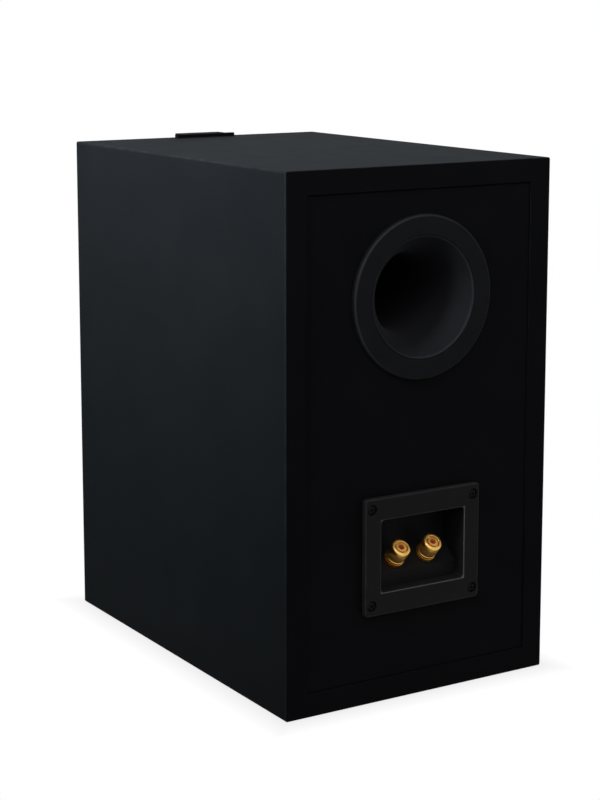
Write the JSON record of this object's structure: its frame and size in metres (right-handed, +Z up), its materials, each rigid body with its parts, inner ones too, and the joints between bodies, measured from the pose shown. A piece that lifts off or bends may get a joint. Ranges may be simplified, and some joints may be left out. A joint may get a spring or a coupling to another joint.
{
  "type": "bookshelf speaker",
  "caption": "Black vinyl-wrapped bookshelf loudspeaker with a flared rear port, a recessed terminal plate with gold binding posts, a cone woofer and a dome tweeter.",
  "frame": {"origin": "on the floor, in the middle of the footprint", "axes": "+Z up, drive units face -Y, port and terminals face +Y, +X is the listener's right"},
  "size_m": [0.212, 0.313, 0.3648],
  "materials": {
    "vinyl_wrap": "matt black vinyl film over board",
    "front_vinyl": "satin black film over board",
    "bare_board": "raw fibreboard",
    "wadding": "white polyester wadding",
    "moulded_black": "fine moulded texture",
    "gasket_foam": "closed-cell foam",
    "black_screws": "black zinc",
    "gold_plate": "polished gold plating",
    "red_ring": "red nylon",
    "black_ring": "black nylon",
    "bright_steel": "zinc plated",
    "tinned_brass": "tinned",
    "circuit_board": "solder-masked laminate",
    "copper_wire": "enamelled copper",
    "capacitor_film": "yellow film wrap",
    "cement_white": "cement body",
    "lead_sleeve": "soft insulation",
    "basket_paint": "black stove enamel",
    "trim_black": "satin moulding",
    "surround_rubber": "butyl rubber",
    "cone_black": "mineral-filled polymer",
    "former_film": "polyimide film",
    "spider_cloth": "resin-dipped cloth",
    "soft_iron": "passivated steel",
    "ferrite": "sintered ferrite",
    "dome_cloth": "coated silk"
  },
  "bodies": {
    "cabinet": {"top_panel": "vinyl_wrap", "bottom_panel": "vinyl_wrap", "left_side_panel": "vinyl_wrap", "right_side_panel": "vinyl_wrap", "front_baffle": "front_vinyl", "back_panel": "vinyl_wrap", "window_brace": "bare_board", "damping_wadding": "wadding", "port_flange": "moulded_black", "port_tube": "moulded_black", "terminal_cup": "moulded_black", "terminal_gasket": "gasket_foam", "terminal_screws": "black_screws", "post_stud_positive": "gold_plate", "post_stud_negative": "gold_plate", "post_collar_positive": "red_ring", "post_collar_negative": "black_ring", "post_nuts": "bright_steel", "solder_lugs": "tinned_brass", "crossover_board": "circuit_board", "board_standoffs": "cement_white", "board_screws": "bright_steel", "woofer_inductor": "copper_wire", "tweeter_inductor": "copper_wire", "woofer_capacitor": "capacitor_film", "tweeter_capacitor": "capacitor_film", "resistors": "cement_white", "input_leads": "lead_sleeve", "woofer_leads": "lead_sleeve", "tweeter_leads": "lead_sleeve", "woofer_basket": "basket_paint", "woofer_gasket": "gasket_foam", "woofer_trim_ring": "trim_black", "woofer_screws": "black_screws", "woofer_surround": "surround_rubber", "woofer_spider": "spider_cloth", "woofer_top_plate": "soft_iron", "woofer_magnet": "ferrite", "woofer_yoke": "soft_iron", "woofer_terminal_strip": "tinned_brass", "tinsel_leads": "copper_wire", "tweeter_waveguide": "trim_black", "tweeter_screws": "black_screws", "tweeter_surround": "dome_cloth", "tweeter_top_plate": "soft_iron", "tweeter_magnet": "ferrite", "tweeter_yoke": "soft_iron", "tweeter_rear_cup": "moulded_black", "tweeter_terminals": "tinned_brass"},
    "woofer_cone_assembly": {"woofer_cone": "cone_black", "woofer_dust_cap": "cone_black", "voice_coil_former": "former_film", "voice_coil_winding": "copper_wire"},
    "tweeter_diaphragm": {"tweeter_dome": "dome_cloth", "tweeter_voice_coil": "copper_wire"},
    "positive_washer": {"clamp_washer_positive": "gold_plate"},
    "positive_cap": {"post_cap_positive": "gold_plate"},
    "negative_washer": {"clamp_washer_negative": "gold_plate"},
    "negative_cap": {"post_cap_negative": "gold_plate"}
  },
  "joints": [
    {"name": "woofer_cone_slide", "type": "slide", "parent": "cabinet", "child": "woofer_cone_assembly", "axis": [0, -1, 0], "range_m": [-0.005, 0.005], "stiffness_N_per_m": 1100, "deforming": ["woofer_surround", "woofer_spider", "tinsel_leads"]},
    {"name": "tweeter_dome_slide", "type": "slide", "parent": "cabinet", "child": "tweeter_diaphragm", "axis": [0, -1, 0], "range_m": [-0.0004, 0.0004], "stiffness_N_per_m": 1500, "deforming": ["tweeter_surround"]},
    {"name": "positive_washer_slide", "type": "slide", "parent": "cabinet", "child": "positive_washer", "axis": [0, 0.6691, 0.7431], "range_m": [0, 0.006]},
    {"name": "positive_cap_turn", "type": "hinge", "parent": "positive_washer", "child": "positive_cap", "pos_m": [0.013, 0.14126, 0.09514], "axis": [0, 0.6691, 0.7431], "range_deg": [0, 2160]},
    {"name": "negative_washer_slide", "type": "slide", "parent": "cabinet", "child": "negative_washer", "axis": [0, 0.6691, 0.7431], "range_m": [0, 0.006]},
    {"name": "negative_cap_turn", "type": "hinge", "parent": "negative_washer", "child": "negative_cap", "pos_m": [-0.013, 0.14126, 0.09514], "axis": [0, 0.6691, 0.7431], "range_deg": [0, 2160]}
  ],
  "couplings": [
    {"joint": "positive_washer_slide", "follows": "positive_cap_turn", "m_per_rad": 0.00015915},
    {"joint": "negative_washer_slide", "follows": "negative_cap_turn", "m_per_rad": 0.00015915}
  ]
}
